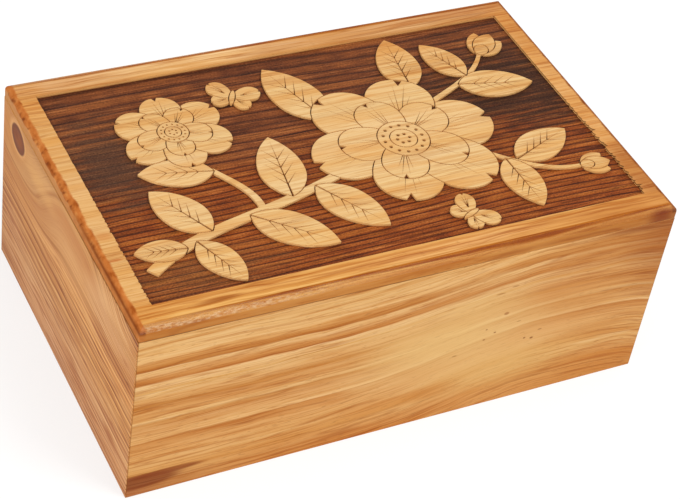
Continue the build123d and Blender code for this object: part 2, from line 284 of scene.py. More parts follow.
# The front board shows most: its bands run level, sweep up past the middle and level off
front_pine = pine_board(
    "stained_pine_front",
    axes="XZY",
    profile=[
        (-30, "#CF8A44"), (-9, "#D89C5A"), (-3, "#CF8A44"), (3, "#DBA466"),
        (8, "#E4B476"), (14, "#D69A56"), (20, "#E2B072"), (30, "#DDA668"),
        (37.6, "#CC8C4C"), (38.4, "#ECC086"), (40.5, "#E2B074"), (46, "#D8A166"),
        (50, "#CF9454"), (51, "#EAC086"), (52.4, "#E6B87C"), (54, "#D79E60"), (59.8, "#D8A062"),
        (61, "#CC8E4A"), (65, "#DEAA6E"), (69.6, "#E8BE84"), (70.6, "#D69E58"), (71.6, "#EBC28A"),
        (75.8, "#E8BC84"), (76.4, "#C27E3E"), (79, "#D29454"), (84.8, "#ECC28A"), (85.4, "#B87434"),
        (87.5, "#C98846"), (90.5, "#DDA666"), (92.5, "#EABE84"), (99.6, "#E5B87C"), (105.4, "#E2B478"),
    ],
    rise={
        "shape": [
            (0.0, 0.0), (0.3, 0.0), (0.45, 0.12), (0.58, 0.45), (0.7, 0.85), (0.78, 0.98), (1.0, 0.66),
        ],
        "foot": 23.0,
        "top": 10.0,
    },
    marks=[
        (98, 76, 62, 26, 0.9, "#D09050", 0.5),
        (104, 97, 52, 13, 0.9, "#CB8E4E", 0.55),
        (96, 60, 56, 14, 0.9, "#D69C5A", 0.5),
        (112, 92, 54, 18, 0.9, "#CA8C4E", 0.6),
        (36, 92, 40, 8, 0.8, "#E4B87E", 0.5),
        (-142, 61, 18, 3.4, 0.8, "#B9732F", 0.5),
        (22, 55, 74, 32, 0.9, "#E7BD7C", 0.85),
        (40, 76, 40, 12, 0.9, "#E6BC7C", 0.5),
        (62, 25, 66, 22, 0.9, "#E4B672", 0.75),
        (20, 19, 26, 8, 0.8, "#CE8E48", 0.45),
        (-18, 36, 26, 9, 0.8, "#E8BC80", 0.5),
        (112, 37.5, 46, 4.5, 0.9, "#CB8842", 0.55),
        (124, 28, 36, 1.8, 0.8, "#E9C088", 0.6),
        (-50, 3, 110, 15, 0.9, "#CB823A", 0.65),
        (-8, 20, 56, 7, 0.9, "#D28E46", 0.45),
        (46, 6, 70, 8, 0.8, "#E0A868", 0.5),
        (126, 6, 46, 12, 0.9, "#CB843C", 0.45),
        (-138, 4, 52, 13, 0.9, "#A8622E", 0.6),
        (-147, 9.4, 34, 6.4, 0.35, "#8A4622", 0.85),
        (-126, 12.6, 25, 2.6, 0.45, "#8A421E", 0.75),
        (-148, 2.4, 26, 4.4, 0.9, "#B4704A", 0.6),
        (152, 96, 46, 58, 0.9, "#A86028", 0.75),
        (112, 105.4, 50, 5, 0.8, "#BA783C", 0.5),
        (132, 105.4, 36, 6, 0.7, "#9E5A28", 0.8),
        (55, 65, 1.9, 1.3, 0.5, "#A86C3A", 0.7),
        (74.5, 42, 1.3, 0.9, 0.5, "#8E5428", 0.85),
        (70, 43.2, 1, 0.8, 0.5, "#9A6032", 0.8),
        (50.5, 53, 0.9, 0.7, 0.5, "#9A6032", 0.8),
        (45, 56.5, 0.8, 0.6, 0.5, "#A06636", 0.8),
        (44.8, 49.4, 1, 0.7, 0.5, "#9A6032", 0.7),
        (48.4, 80.4, 3.4, 0.6, 0.5, "#A8713A", 0.6),
        (56.4, 83.4, 2.6, 0.6, 0.5, "#A8713A", 0.55),
        (78.5, 47, 1.6, 0.6, 0.5, "#A06636", 0.65),
        (28.9, 42.6, 1.8, 0.6, 0.5, "#A8713A", 0.6),
        (64, 57, 1.7, 0.5, 0.5, "#A8713A", 0.55),
    ],
    calm=(44, 50, 92, 44, 0.12),
    fine={"spacing": 4.3, "from": 30, "full": 80, "least": 0.12, "most": 0.24, "figure": 0.36, "fibre": 0.7},
    inner_face=(1000 * wall_high.y, -1),
    joints=(half_length, 70, -10),
    seed=3.0,
)

# The left board has a tight knot near its back corner, and the rings flow under it
left_inside = 1000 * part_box("left_wall")[1].x
left_pine = pine_board(
    "stained_pine_left",
    axes="YZX",
    profile=[
        (0, "#CE9664"), (6, "#CA905A"), (12, "#D8A26C"), (18, "#D09A64"), (24.4, "#DCAA72"),
        (25.2, "#B0743E"), (28.6, "#D6A26A"), (29.8, "#DEAC72"), (30.6, "#B67C46"), (33.6, "#E0AE74"),
        (34.6, "#A86A34"), (38.8, "#DCA86C"), (40.2, "#B2763C"), (44.6, "#E0AE72"),
        (45.4, "#A06028"), (49.6, "#DAA568"), (50.4, "#E0AC70"), (51, "#A0622A"), (56.4, "#DCA56A"),
        (57.4, "#AC7038"), (59, "#DAA468"), (66, "#DAA266"), (70.5, "#D0965C"), (73.6, "#A8682E"),
        (76, "#CA9056"), (90, "#C88C52"), (100, "#C08046"), (106, "#D0985A"), (108.6, "#B0723A"),
        (112, "#D29C60"), (145, "#CC9458"),
    ],
    swirls=[
        {"middle": 72.0, "reach": 78.0, "from": 56.0, "full": 82.0, "push": 40.0},
        {"middle": -92.0, "reach": 74.0, "from": 72.0, "full": 98.0, "push": 34.0},
    ],
    marks=[
        (88, 50, 90, 90, 1, "#B5742E", 0.35),
        (-20, 80, 60, 14, 1, "#DEA96E", 0.5),
        (-60, 45, 80, 60, 1, "#DEA86C", 0.35),
        (-62, 84, 44, 20, 0.9, "#E8C094", 0.4),
        (44, 84, 56, 20, 0.9, "#B47A46", 0.35),
        (-10, 12, 170, 40, 1, "#CEA080", 0.5),
        (84, 34, 44, 26, 1, "#C69068", 0.5),
        (92, 6, 40, 14, 0.9, "#AC7448", 0.45),
        (50, 105.4, 72, 7, 0.9, "#B0763C", 0.65),
        (-92, 107, 34, 10, 0.9, "#985428", 0.75),
        (40, 91, 34, 9, 0.8, "#D9A260", 0.6),
        (-66, 97, 36, 15, 0.7, "#DDAC78", 0.75),
        (-66, 69.5, 36, 5.5, 0.6, "#B57844", 0.7),
        (96, 88, 13, 34, 0.9, "#BE7636", 0.6),
        (78, 94, 24, 20, 0.7, "#C07C36", 0.75),
        (72, 95, 14, 11.6, 0.3, "#DCA468", 0.7),
        (71.5, 94.6, 10.6, 8.4, 0.14, "#6E3000", 0.97),
        (71.3, 94.8, 9.2, 7, 0.7, "#8A4608", 0.9),
        (74, 96, 4, 3.4, 0.9, "#743200", 0.6),
    ],
    calm=(30, 94, 124, 36, 0.12),
    fine={"spacing": 3.3, "from": 30, "full": -40, "least": 0.3, "most": 0.95, "figure": 0.6, "fibre": 0.9},
    inner_face=(left_inside, -1),
    joints=(half_width, 50, -10),
    seed=11.0,
    shine=0.04,
)

# The other two boards came from the same plank, further along
back_inside = 1000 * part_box("back_wall")[0].y
back_pine = pine_board(
    "stained_pine_back",
    axes="XZY",
    profile=[
        (0, "#C9853F"), (10, "#D2924F"), (17, "#DDA466"), (18, "#C4803F"), (24, "#D59A5C"),
        (33, "#E0AE70"), (34, "#C98A4B"), (41, "#DCA56A"), (52, "#E3B376"), (53, "#CB8C4E"),
        (60, "#DAA265"), (66, "#E2B075"), (67, "#C68545"), (72, "#D99F61"), (78, "#E2B177"),
        (79, "#C98A4A"), (84, "#DBA467"), (92, "#E4B479"), (93, "#CD8F51"), (105.4, "#DFAC70"),
    ],
    rise={"shape": [(0.0, 0.7), (0.3, 1.0), (0.55, 0.5), (0.8, 0.08), (1.0, 0.0)], "foot": 20.0, "top": 9.0},
    marks=[(-20, 40, 60, 26, 0.85, "#E2B474", 0.6), (120, 12, 40, 9, 0.8, "#B26A34", 0.5)],
    calm=(-20, 40, 70, 30, 0.3),
    fine={"spacing": 3.9, "from": 40, "full": -60, "least": 0.14, "most": 0.4, "figure": 0.45, "fibre": 0.8},
    inner_face=(back_inside, 1),
    joints=(half_length, -300, -200),
    seed=19.0,
)
right_inside = 1000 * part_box("right_wall")[0].x
right_pine = pine_board(
    "stained_pine_right",
    axes="YZX",
    profile=[
        (0, "#C88646"), (12, "#D39453"), (20, "#DCA467"), (21, "#C58343"), (28, "#D69C5F"),
        (36, "#DFAD71"), (37, "#C88849"), (43, "#D9A166"), (51, "#E1B076"), (52, "#C98B4F"),
        (57, "#D79E64"), (64, "#E0AE73"), (65, "#C78648"), (75, "#DBA468"), (86, "#E2B278"),
        (87, "#CB8D50"), (105.4, "#DDAA6E"),
    ],
    rise={"shape": [(0.0, 0.0), (0.35, 0.1), (0.6, 0.8), (0.8, 1.0), (1.0, 0.8)], "foot": 14.0, "top": 6.0},
    marks=[(30, 50, 50, 24, 0.85, "#E0B073", 0.5)],
    calm=(30, 50, 60, 30, 0.4),
    fine={"spacing": 3.1, "from": -60, "full": 60, "least": 0.14, "most": 0.4, "figure": 0.45, "fibre": 0.8},
    inner_face=(right_inside, 1),
    joints=(half_width, -300, -200),
    seed=29.0,
)
dress("front_wall", front_pine)
dress("left_wall", left_pine)
dress("back_wall", back_pine)
dress("right_wall", right_pine)

# Corner blocks
# Four short lengths of squared pine, glued upright into the corners with their inner edge
# planed off. The base screws go up into them. The wood is bare.
block_pine = pine_board(
    "unfinished_pine",
    axes="ZXY",
    profile=[(-140, "#E3C391"), (-122, "#DDB981"), (122, "#E3C490"), (140, "#DAB67E")],
    calm=(0, 0, 1, 1, 1),
    fine={"spacing": 2.6, "from": -900, "full": -800, "least": 0.4, "most": 0.4, "figure": 0.3,
          "fibre": 0.8},
    seed=43.0,
    shine=0.2,
)
dress("corner_block", block_pine)

# Top board
# One pine board glued down over the walls, its edge rounded with a router bit. A laser burnt
# the ground away round the flowers, deepest in the soft wood, and left the flowers standing.
drawn_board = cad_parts["top_board"].data
top_low, top_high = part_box("top_board")
seam, face = 1000 * top_low.z, 1000 * top_high.z
edge_round, corner_round, arris = 3.4, 0.8, 0.35
carve_depth = 1.5

# The border, the field and the flowers have the outlines that the flat tops of the solid have.
# Their corners are rounded to a micrometre, so that neighbours share them
level_within, shortest_step = 1e-6, 0.02
edges = set()
for polygon in drawn_board.polygons:
    spots = [drawn_board.vertices[i].co for i in polygon.vertices]
    if all(spot.z > top_high.z - level_within for spot in spots):
        spots = [(round(1e6 * spot.x) / 1000, round(1e6 * spot.y) / 1000) for spot in spots]
        edges.update(zip(spots, spots[1:] + spots[:1]))
following = {start: end for start, end in edges if (end, start) not in edges}
outlines = []
while following:
    first, spot = following.popitem()
    outline = [first]
    while spot != first:
        if math.dist(spot, outline[-1]) > shortest_step:
            outline.append(spot)
        spot = following.pop(spot)
    outlines.append(outline)
outlines.sort(key=lambda outline: max(spot[0] for spot in outline), reverse=True)
field_x = max(spot[0] for spot in outlines[1])
field_y = max(spot[1] for spot in outlines[1])
flowers = outlines[2:]


def ring_place(x, y):
    """Where a point lies across the growth rings, in millimetres: they wander along the board."""
    slow = 5.0 * noise.noise((0.0065 * x, 0.016 * y, 4.0))
    return y + slow + 0.5 * noise.noise((0.045 * x, 0.16 * y, 9.0))


# The rings are narrow in the front half of the board and wide behind, and no two are alike
narrow_ring, wide_ring, wide_from = 3.5, 6.4, -2
past_edge = 110.0
growth = [-past_edge]
while growth[-1] < past_edge:
    ring_width = narrow_ring if growth[-1] < wide_from else wide_ring
    growth.append(growth[-1] + ring_width * (1.0 + 0.9 * noise.noise((2.37 * len(growth), 2.0, 1.0))))


def burnt_height(x, y):
    """How high the hard rings stand in the burnt ground, from 0 in the soft wood to 1."""
    place = ring_place(x, y)
    number = bisect.bisect(growth, place) - 1
    share = (place - growth[number]) / (growth[number + 1] - growth[number])
    rounded_crest = min(1.0, share / 0.3) * min(1.0, (1.0 - share) / 0.16)
    hardness = 0.75 + 0.5 * noise.noise((0.012 * x, 3.71 * number, 6.0))
    hardness += 0.3 * noise.noise((0.11 * x, 1.93 * number, 16.0))
    return rounded_crest ** 0.8 * min(1.0, max(0.25, hardness))


corner_points, corner_turn = 5, 22.5


def rounded_outline(half_x, half_y, radius):
    """A rectangle with rounded corners, with a few points to each."""
    outline = []
    for quarter, (side_x, side_y) in enumerate(((1, -1), (1, 1), (-1, 1), (-1, -1))):
        for step in range(corner_points):
            angle = math.radians(90 * (quarter - 1) + corner_turn * step)
            outline.append((
                side_x * (half_x - radius) + radius * math.cos(angle),
                side_y * (half_y - radius) + radius * math.sin(angle),
            ))
    return outline


# At the two ends of the field the laser bit further into each soft ring, so the ends are ragged,
# the right one more than the left and both most towards the front
ends = {1: [], -1: []}
bite_reach = {1: 2.6, -1: 1.2}
least_ragged = {1: 0.08, -1: 0.25}
end_steps = 400
for step in range(end_steps + 1):
    y = field_y * (2 * step / end_steps - 1)
    for side, end in ends.items():
        bite = max(0.0, 1.0 - 1.2 * burnt_height(side * field_x, y))
        bite *= max(0.0, 0.6 + 1.7 * noise.noise((0.17 * y, 3.0 + side, 0.0)))
        crumb = max(0.0, noise.noise((1.7 * y, 15.0 + side, 0.0)))
        raggedness = bite_reach[side] * min(1.0, max(least_ragged[side], 0.4 - y / 50))
        end.append((side * (field_x + raggedness * (bite + 0.3 * crumb)), y))
field = ends[1] + ends[-1][::-1]

# The face is cut into triangles from points along each outline, a row of points close to each
# side of it, and a grid that is drawn out along the rings
sharp_corner = 0.35
board_rim = rounded_outline(half_length - edge_round, half_width - edge_round, sharp_corner)
shapes = [board_rim, field] + flowers
outline_step, beside_step, beside_reach = 0.4, 0.9, 0.75
long_side, long_side_parts = 150, 400
points, shape_numbers, burnt_line = [], [], []
for shape in shapes:
    shape_numbers.append(list(range(len(points), len(points) + len(shape))))
    points.extend(shape)
travelled = 0.0
beside = []
for shape in shapes[1:]:
    for start, end in zip(shape, shape[1:] + shape[:1]):
        length = math.dist(start, end)
        parts = long_side_parts if length > long_side else max(1, math.ceil(length / outline_step))
        for part in range(parts):
            share = part / parts
            spot = (start[0] + share * (end[0] - start[0]), start[1] + share * (end[1] - start[1]))
            burnt_line.append(spot)
            travelled += length / parts
            if travelled > beside_step:
                travelled = 0.0
                across = (-(end[1] - start[1]) / length, (end[0] - start[0]) / length)
                for away in (-beside_reach, beside_reach):
                    beside.append((spot[0] + away * across[0], spot[1] + away * across[1]))
points.extend(beside)
column_step, row_step = 2.8, 0.4
column = -half_length + edge_round + 2.0
while column < half_length - edge_round - 1.0:
    row = -half_width + edge_round + 0.5
    while row < half_width - edge_round - 0.3:
        if abs(column) < field_x and abs(row) < field_y:
            points.append((column, row))
        row += row_step
    column += column_step
stretch, join_within = 7.0, 1e-4
flat, _, triangles, _, _, inside = delaunay_2d_cdt(
    [Vector((x, stretch * y)) for x, y in points], [], shape_numbers, 0, join_within, True
)
flat = [(spot.x, spot.y / stretch) for spot in flat]
carved_line = kdtree.KDTree(len(burnt_line))
for number, spot in enumerate(burnt_line):
    carved_line.insert((*spot, 0.0), number)
carved_line.balance()

vertices, rings, scorch_and_painted_light_values, numbers = [], [], [], {}
low_crest, front_crest = 0.12, 0.16
# How near each point is to the carving's outline: it masks the laser's browning, and also the painted
# highlight and painted shade on and beside the carving's walls
scorch_and_painted_light_fade = 0.45


def board_vertex(number, burnt):
    """The mesh vertex for a flat point, on the board's face or on the burnt ground."""
    if (number, burnt) not in numbers:
        x, y = flat[number]
        numbers[number, burnt] = len(vertices)
        height = burnt_height(x, y)
        front = min(1.0, max(0.0, 0.5 - y / 30))
        deep = carve_depth - height * (low_crest + front_crest * front)
        vertices.append((x / 1000, y / 1000, (face - deep if burnt else face) / 1000))
        rings.append(height)
        scorch_and_painted_light_values.append(math.exp(-carved_line.find((x, y, 0.0))[2] / scorch_and_painted_light_fade))
    return numbers[number, burnt]


plain_finish, burnt_finish, side_finish, end_finish = range(4)
faces, finishes, levels = [], [], {}
for triangle, within in zip(triangles, inside):
    burnt = len(within) % 2 == 0
    faces.append([board_vertex(number, burnt) for number in triangle])
    finishes.append(burnt_finish if burnt else plain_finish)
    for start, end in zip(triangle, triangle[1:] + triangle[:1]):
        levels[start, end] = burnt
for (start, end), burnt in levels.items():
    if not burnt and levels.get((end, start)):
        wall = [(start, False), (start, True), (end, True), (end, False)]
        faces.append([board_vertex(*corner) for corner in wall])
        finishes.append(plain_finish)

# The rounded edge, a line just above the arris that keeps it crisp, the arris and the underside
rim = []
for x, y in board_rim:
    nearest = min(numbers, key=lambda pair: math.dist(flat[pair[0]], (x, y)))
    rim.append(numbers[nearest[0], False])
edge_steps = 12
edge_lines = []
for step in range(1, edge_steps + 1):
    angle = math.radians(90 / edge_steps * step)
    edge_lines.append((edge_round * (1 - math.sin(angle)), face - edge_round * (1 - math.cos(angle))))
edge_lines += [(0.0, seam + arris + 0.1), (0.0, seam + arris), (arris, seam)]
at_end = [spot[0] == after[0] for spot, after in zip(board_rim, board_rim[1:] + board_rim[:1])]
for inset, height in edge_lines:
    radius = max(corner_round - inset, sharp_corner)
    lower = []
    for x, y in rounded_outline(half_length - inset, half_width - inset, radius):
        lower.append(len(vertices))
        vertices.append((x / 1000, y / 1000, height / 1000))
        rings.append(0.5)
        scorch_and_painted_light_values.append(0.0)
    on_rounding = height > face - 0.8 * edge_round
    for number in range(len(rim)):
        after = (number + 1) % len(rim)
        faces.append([rim[number], lower[number], lower[after], rim[after]])
        finishes.append(end_finish if at_end[number] else side_finish if on_rounding else plain_finish)
    rim = lower
faces.append(rim[::-1])
finishes.append(plain_finish)
board_mesh = bpy.data.meshes.new("carved_top_board")
board_mesh.from_pydata(vertices, [], faces)
for name, values in (("ring", rings), ("scorch", scorch_and_painted_light_values)):
    board_mesh.attributes.new(name, "FLOAT", "POINT").data.foreach_set("value", values)
board_mesh.polygons.foreach_set("material_index", finishes)
board_mesh.shade_smooth()
board_mesh.set_sharp_from_angle(angle=math.radians(50))
board = bpy.data.objects.new("carved_top_board", board_mesh)
bpy.context.scene.collection.objects.link(board)
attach(board, "box")
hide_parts("top_board")

top_pine = pine_board(
    "stained_pine_top",
    axes="XYZ",
    profile=[
        (-94.5, "#C98A48"), (-92, "#DDA962"), (-88.6, "#E6B46C"), (-87.2, "#C68640"), (-85.5, "#D69B54"),
        (-83.6, "#E2B06C"), (-82.6, "#C5823C"), (-80.5, "#DAA45E"), (-76, "#E1BC84"), (-58, "#E1BA80"),
        (-56, "#DAAA6A"), (-50, "#E2C08A"), (-38, "#DEB276"), (-36, "#E2BE86"), (-20, "#E2C08C"),
        (-12, "#DDB072"), (-8, "#E2BC84"), (12, "#E3C08C"), (20, "#DDB276"), (24, "#E2C08A"),
        (40, "#E1BA82"), (44, "#DBAA6A"), (50, "#E1BC84"), (72, "#DBA464"),
        (78, "#D8A364"), (81, "#C68C50"), (83, "#DDB07C"), (85.4, "#CE9862"), (87, "#DAAA78"),
        (89, "#E0B484"), (90.6, "#D09C66"), (94.5, "#D6A470"),
    ],
    marks=[
        (-100, -85.2, 12, 1.1, 0.8, "#B06A28", 0.8),
        (-113, -87.6, 10, 0.9, 0.8, "#B8742F", 0.6),
        (44, -84.6, 16, 1.2, 0.8, "#A8642A", 0.75),
        (28, -87.6, 20, 1, 0.8, "#B06C2E", 0.6),
        (96, -84.8, 34, 1.2, 0.8, "#A8642A", 0.6),
        (104, -88.4, 34, 1.4, 0.8, "#A05C24", 0.6),
        (80, -87.5, 80, 7, 0.9, "#C98A48", 0.6),
        (128, -88, 62, 10, 0.9, "#B87032", 0.7),
        (-150, -94, 44, 5, 0.9, "#A8642C", 0.6),
        (148, 0, 26, 400, 0.6, "#D89A56", 0.7),
        (142, -62, 16, 34, 0.7, "#A65E24", 0.7),
        (142, 60, 16, 44, 0.9, "#C4803C", 0.5),
        (-142, 0, 18, 400, 0.5, "#D2924A", 0.4),
        (-104, -86, 16, 2.6, 0.8, "#9C5620", 0.65),
        (34, -86, 44, 2.6, 0.8, "#E2AC6A", 0.5),
        (-54, 87, 60, 9, 0.7, "#EAC28A", 0.7),
        (-28, 87, 24, 9, 0.8, "#F2CE9C", 0.5),
        (-139, -30, 8, 4.5, 0.8, "#C98240", 0.6),
        (-140, -47, 6, 1.3, 0.7, "#C06A30", 0.6),
        (24, -87, 92, 8, 0.8, "#DCA670", 0.45),
        (46, 87, 46, 9, 0.7, "#CA8E52", 0.55),
        (124, 89, 60, 8, 0.9, "#C68A56", 0.7),
        (110, -95, 90, 5, 0.9, "#B4702E", 0.7),
        (137, -96, 13, 5, 0.8, "#7A2808", 0.95),
    ],
    calm=(-50, 0, 190, 80, 0.5),
    fine={"spacing": 3.4, "from": -300, "full": 0, "least": 0.25, "most": 0.25, "figure": 0.45,
          "fibre": 0.8},
    inner_face=(seam - 0.1, 1),
    seed=37.0,
)
tree = top_pine.node_tree
shader = tree.nodes["Principled BSDF"]
wood = shader.inputs["Base Color"].links[0].from_socket
millimetres = in_millimetres(tree)
board_x, board_y, board_z = node(tree, "SeparateXYZ", {0: millimetres}).node.outputs

# The stain took unevenly, in long warm patches
patch = node(tree, "TexNoise", {"Vector": millimetres, "Detail": 3.0, "Roughness": 0.6},
             per_mm=(0.011, 0.085, 0.0))
patch = node(tree, "MapRange", {0: patch, 1: 0.48, 2: 0.7, 4: 0.6}, interpolation_type="SMOOTHSTEP")

# End grain drinks the stain, so the two short edges are dark orange, with short darker strokes
to_end = node(tree, "Math", {0: board_x}, operation="ABSOLUTE")
round_edge = node(tree, "Math", {0: to_end, 1: board_z}, operation="SUBTRACT")
edge_place = node(tree, "CombineXYZ", {0: round_edge, 1: board_y})
cloudy = node(tree, "TexNoise", {"Vector": edge_place, "Detail": 3.0, "Roughness": 0.55},
              per_mm=(0.16, 0.12, 1.0))
wave = node(tree, "TexNoise", {"Vector": millimetres}, per_mm=(0.0, 0.07, 0.0))
wave = node(tree, "MapRange", {0: wave, 1: 0.3, 2: 0.7, 3: -0.35, 4: 0.35})
reach_in = node(tree, "MapRange", {0: cloudy, 1: 0.3, 2: 0.7, 3: 0.4, 4: -0.4})
drunk = node(tree, "Math", {0: to_end, 1: reach_in}, operation="ADD")
drunk = node(tree, "Math", {0: drunk, 1: wave}, operation="ADD")
drunk = node(tree, "MapRange", {0: drunk, 1: half_length - 3.6, 2: half_length - 2.3},
             interpolation_type="SMOOTHSTEP")
end_grain = node(tree, "ValToRGB", {0: cloudy},
                 stops=[(0.34, "#984C18"), (0.45, "#B2642A"), (0.56, "#BE7034"), (0.68, "#CA8242")])
slanted = node(tree, "VectorRotate", {"Vector": edge_place, "Angle": math.radians(-14)},
               rotation_type="Z_AXIS")
stroke = node(tree, "TexNoise", {"Vector": slanted}, per_mm=(0.1, 0.26, 1.0))
stroke = faded(tree, 0.8, (stroke, 0.48, 0.66))
stroke = faded(tree, stroke, (board_z, face - 0.3, face - 1.4), (board_z, face - 4.6, face - 2.8))
# Towards the front the stain pooled along the lower half of the rounding
pool = faded(tree, 0.8, (board_y, 16.0, -44.0), fade="SMOOTHSTEP")
pool_top = node(tree, "Math", {0: wave, 1: board_z}, operation="ADD")
pool = faded(tree, pool, (pool_top, face - 0.6, face - 2.0), (board_z, face - 3.9, face - 2.9))
stroke = node(tree, "Math", {0: stroke, 1: pool}, operation="MAXIMUM")
# Towards the back it stops halfway down the edge, and the wood below is as pale as the wall
foot = node(tree, "Math", {0: reach_in, 1: 2.2, 2: board_z}, operation="MULTIPLY_ADD")
foot = faded(tree, 0.85, (foot, face - 2.6, face - 3.5), fade="SMOOTHSTEP")
foot = faded(tree, foot, (board_y, -30.0, 20.0))
# The right end is painted darker than the left one, a painted shade
right_end_painted_shade = node(tree, "MapRange", {0: board_x, 1: 100.0, 2: 140.0, 4: 0.5})
for share, stain in ((stroke, "#70300C"), (foot, "#CE9860"), (right_end_painted_shade, "#6A3C1C")):
    end_grain = node(tree, "Mix", {0: share, 6: end_grain, 7: stain})

# A dark crease runs along the two long sides where the router bit began to cut, wider towards the
# right but narrow again near that corner
to_side = node(tree, "Math", {0: board_y}, operation="ABSOLUTE")
crease_end = node(tree, "MapRange", {
    0: board_x, 1: -40.0, 2: 50.0, 3: half_width - 2.5, 4: half_width - 1.0,
})
narrowing = node(tree, "MapRange", {0: board_x, 1: 70.0, 2: 138.0, 4: 1.7})
crease_end = node(tree, "Math", {0: crease_end, 1: narrowing}, operation="SUBTRACT")
crease_end = node(tree, "Math", {0: crease_end, 1: patch}, operation="ADD")
crease_left = node(tree, "Math", {0: crease_end, 1: to_side}, operation="SUBTRACT")
crease = faded(tree, 1.0, (crease_left, -0.4, 0.5), (to_side, half_width - 4.6, half_width - 3.9),
               fade="SMOOTHSTEP")
crease = faded(tree, crease, (to_end, half_length - 1.0, half_length - 4.0),
               (board_x, -half_length, -80.0, 0.3, 1.0))
tint = node(tree, "TexNoise", {"Vector": millimetres}, per_mm=(0.035, 0.7, 0.7))
tint = node(tree, "ValToRGB", {0: tint}, stops=[(0.38, "#8E4206"), (0.62, "#B0651A")])

# At the front left, pale flecks are painted on the rounding: a painted highlight where the varnish glints on
# the raised grain
painted_glint_flecks = node(tree, "TexNoise", {"Vector": millimetres, "Detail": 3.0, "Roughness": 0.65},
             per_mm=(0.3, 0.9, 0.9))
painted_glint_flecks = node(tree, "MapRange", {0: painted_glint_flecks, 1: 0.42, 2: 0.62, 4: 0.55})
painted_glint_flecks = faded(
    tree,
    painted_glint_flecks,
    (board_z, face - 0.1, face - 0.5),
    (board_z, face - 2.8, face - 1.9),
    (board_x, -30.0, -95.0),
    (board_x, 2.6 - half_length, 4.6 - half_length),
    (board_y, 0.0, -9.0),
    fade="SMOOTHSTEP",
)

# The upright part of the edge is darker. The seam below it holds dust, but to the right and at
# the back it is clean and hardly shows, and there its arris is painted paler: painted light that lifts the
# shade in the groove
upright = faded(tree, 1.0, (board_z, face - 2.2, face - 3.4), (board_x, -120.0, 20.0, 0.5, 0.2))
dust_share = faded(tree, 1.0, (board_x, -40.0, 60.0, 0.75, 0.05), (board_y, 50.0, -10.0, 0.1, 1.0))
seam_light_share = node(tree, "Math", {0: 0.6, 1: dust_share}, operation="SUBTRACT", use_clamp=True)
seam_painted_light = faded(tree, seam_light_share, (board_z, seam + 0.45, seam + 0.35))
dusty_seam = faded(tree, dust_share, (board_z, seam + 0.9, seam + 0.4))

# The laser's heat browned the face a little round each flower. The carving's walls carry a
# painted highlight along their top edge, and lower down they are toasted and darkened with painted shade
scorch = node(tree, "Attribute", attribute_name="scorch", output="Fac")
browned = node(tree, "MapRange", {0: scorch, 1: 0.3, 2: 1.0, 4: 0.15})
painted_rim_highlight = faded(tree, scorch, (board_z, face - 0.02, face - 0.15, 0.0, 0.5))
toasted_and_shaded = faded(
    tree,
    scorch,
    (board_z, face - 0.7, face - carve_depth, 0.0, 0.85),
    (board_x, field_x - 2.0, field_x - 0.5, 1.0, 0.15),
)
# The ragged wall at the right end is darker along its top, most towards the front
brink = faded(
    tree,
    1.0,
    (board_y, 60.0, -10.0, 0.4, 0.65),
    (board_z, face - 0.85, face - 0.6),
    (board_z, face - 0.01, face - 0.04),
    (board_x, field_x - 1.0, field_x - 0.4),
    (board_x, field_x + 6.0, field_x + 5.0),
    (board_y, -field_y - 1.0, -field_y - 0.5),
    (board_y, field_y + 1.0, field_y + 0.5),
)
for share, stain in (
    (patch, "#D4964E"),
    (drunk, end_grain),
    (crease, tint),
    (painted_glint_flecks, "#E6C294"),
    (upright, "#B06C30"),
    (seam_painted_light, "#DEB07A"),
    (dusty_seam, "#7A4A24"),
    (browned, "#B87A40"),
    (painted_rim_highlight, "#F0B872"),
    (toasted_and_shaded, "#7A421C"),
    (brink, "#4C240E"),
):
    wood = node(tree, "Mix", {0: share, 6: wood, 7: stain})
tree.links.new(wood, shader.inputs["Base Color"])

# On the routed edge the varnish is thicker and takes the light
edge_pine = top_pine.copy()
edge_pine.name = "varnished_pine_edge"
tree = edge_pine.node_tree
shader = tree.nodes["Principled BSDF"]
shader.inputs["Specular IOR Level"].default_value = 0.3
millimetres = in_millimetres(tree)
pore = node(tree, "TexNoise", {"Vector": millimetres, "Detail": 3.0, "Roughness": 0.7},
            per_mm=(0.55, 1.5, 1.5))
rough = node(tree, "MapRange", {0: pore, 1: 0.3, 2: 0.7, 3: 0.08, 4: 0.28})
board_x = node(tree, "SeparateXYZ", {0: millimetres})
thinner = node(tree, "MapRange", {0: board_x, 1: -50.0, 2: 40.0, 3: 0.12, 4: 0.62},
               interpolation_type="SMOOTHSTEP")
rough = node(tree, "Math", {0: rough, 1: thinner}, operation="ADD")
tree.links.new(rough, shader.inputs["Roughness"])
fibre_bump = shader.inputs["Normal"].links[0].from_socket
bump = node(tree, "Bump", {"Strength": 1.0, "Distance": 0.0007, "Height": pore, "Normal": fibre_bump},
            output="Normal")
tree.links.new(bump, shader.inputs["Normal"])

# On the two short edges it sank into the end grain and stayed dull
end_pine = top_pine.copy()
end_pine.name = "stained_pine_end_grain"
tree = end_pine.node_tree
shader = tree.nodes["Principled BSDF"]
shader.inputs["Specular IOR Level"].default_value = 0.04
tree.links.remove(shader.inputs["Roughness"].links[0])
shader.inputs["Roughness"].default_value = 0.55

